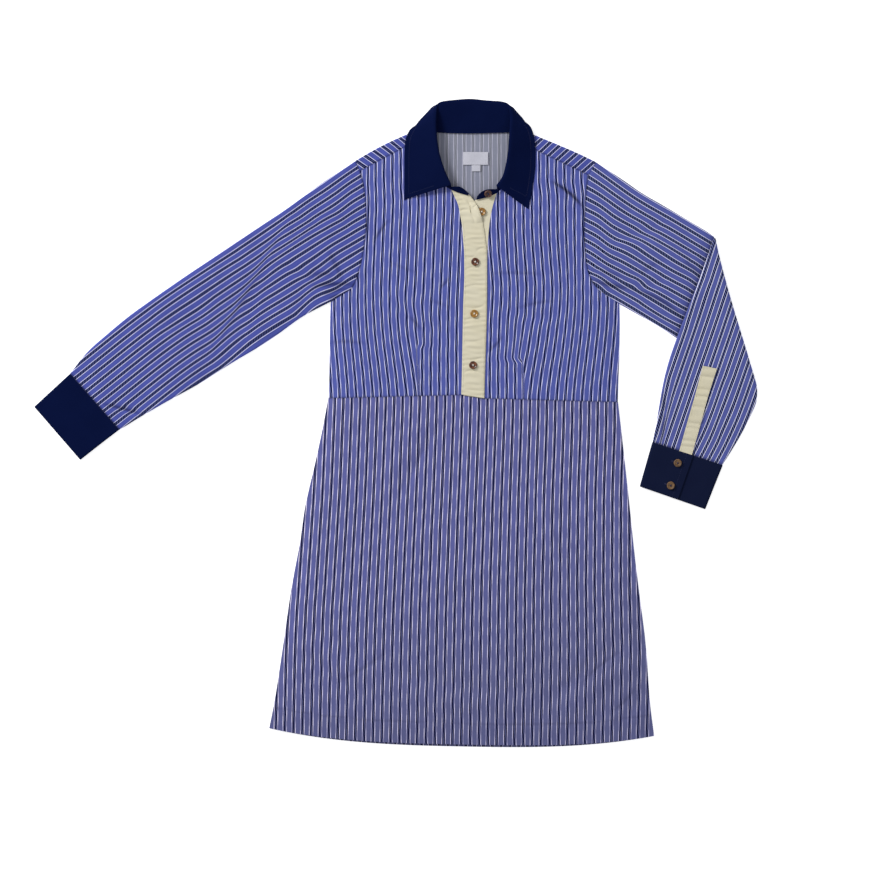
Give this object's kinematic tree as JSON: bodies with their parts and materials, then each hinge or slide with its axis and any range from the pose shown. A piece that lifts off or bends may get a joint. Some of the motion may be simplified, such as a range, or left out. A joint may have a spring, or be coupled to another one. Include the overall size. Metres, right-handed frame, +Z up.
{
  "type": "shirt dress",
  "caption": "Striped cotton shirt dress laid out flat, with contrast collar, cuffs and placket and a flared skirt sewn on at the waist.",
  "frame": {"origin": "centre of the whole outline, on the surface that the dress lies on", "axes": "+Z up from the surface, through the front of the dress; +Y from the hem towards the collar; +X towards the wearer's left sleeve"},
  "size_m": [1.0264, 0.9202, 0.0149],
  "materials": {
    "striped_cotton": "matt woven cotton, blue with dark blue and white lengthwise stripes",
    "navy_cotton": "matt dense cotton twill, stiffened",
    "cream_cotton": "matt plain cotton, slightly rippled",
    "woven_label": "smooth woven tape, blank",
    "button": "polished mottled brown"
  },
  "bodies": {
    "root": {"bodice_back": "striped_cotton", "bodice_front_right": "striped_cotton", "bodice_front_left": "striped_cotton", "yoke": "striped_cotton", "skirt_front": "striped_cotton", "skirt_back": "striped_cotton", "sleeve_right": "striped_cotton", "sleeve_left_upper": "striped_cotton", "sleeve_left_forearm": "striped_cotton", "sleeve_placket_left": "cream_cotton", "placket_top": "cream_cotton", "placket_under": "cream_cotton", "collar_stand": "navy_cotton", "collar_fall": "navy_cotton", "cuff_right": "navy_cotton", "cuff_left": "navy_cotton", "label": "woven_label", "size_tab": "woven_label", "button_stand": "button", "button_under": "button", "button_front_1": "button", "button_front_2": "button", "button_front_3": "button", "button_cuff_1": "button", "button_cuff_2": "button"}
  },
  "joints": []
}
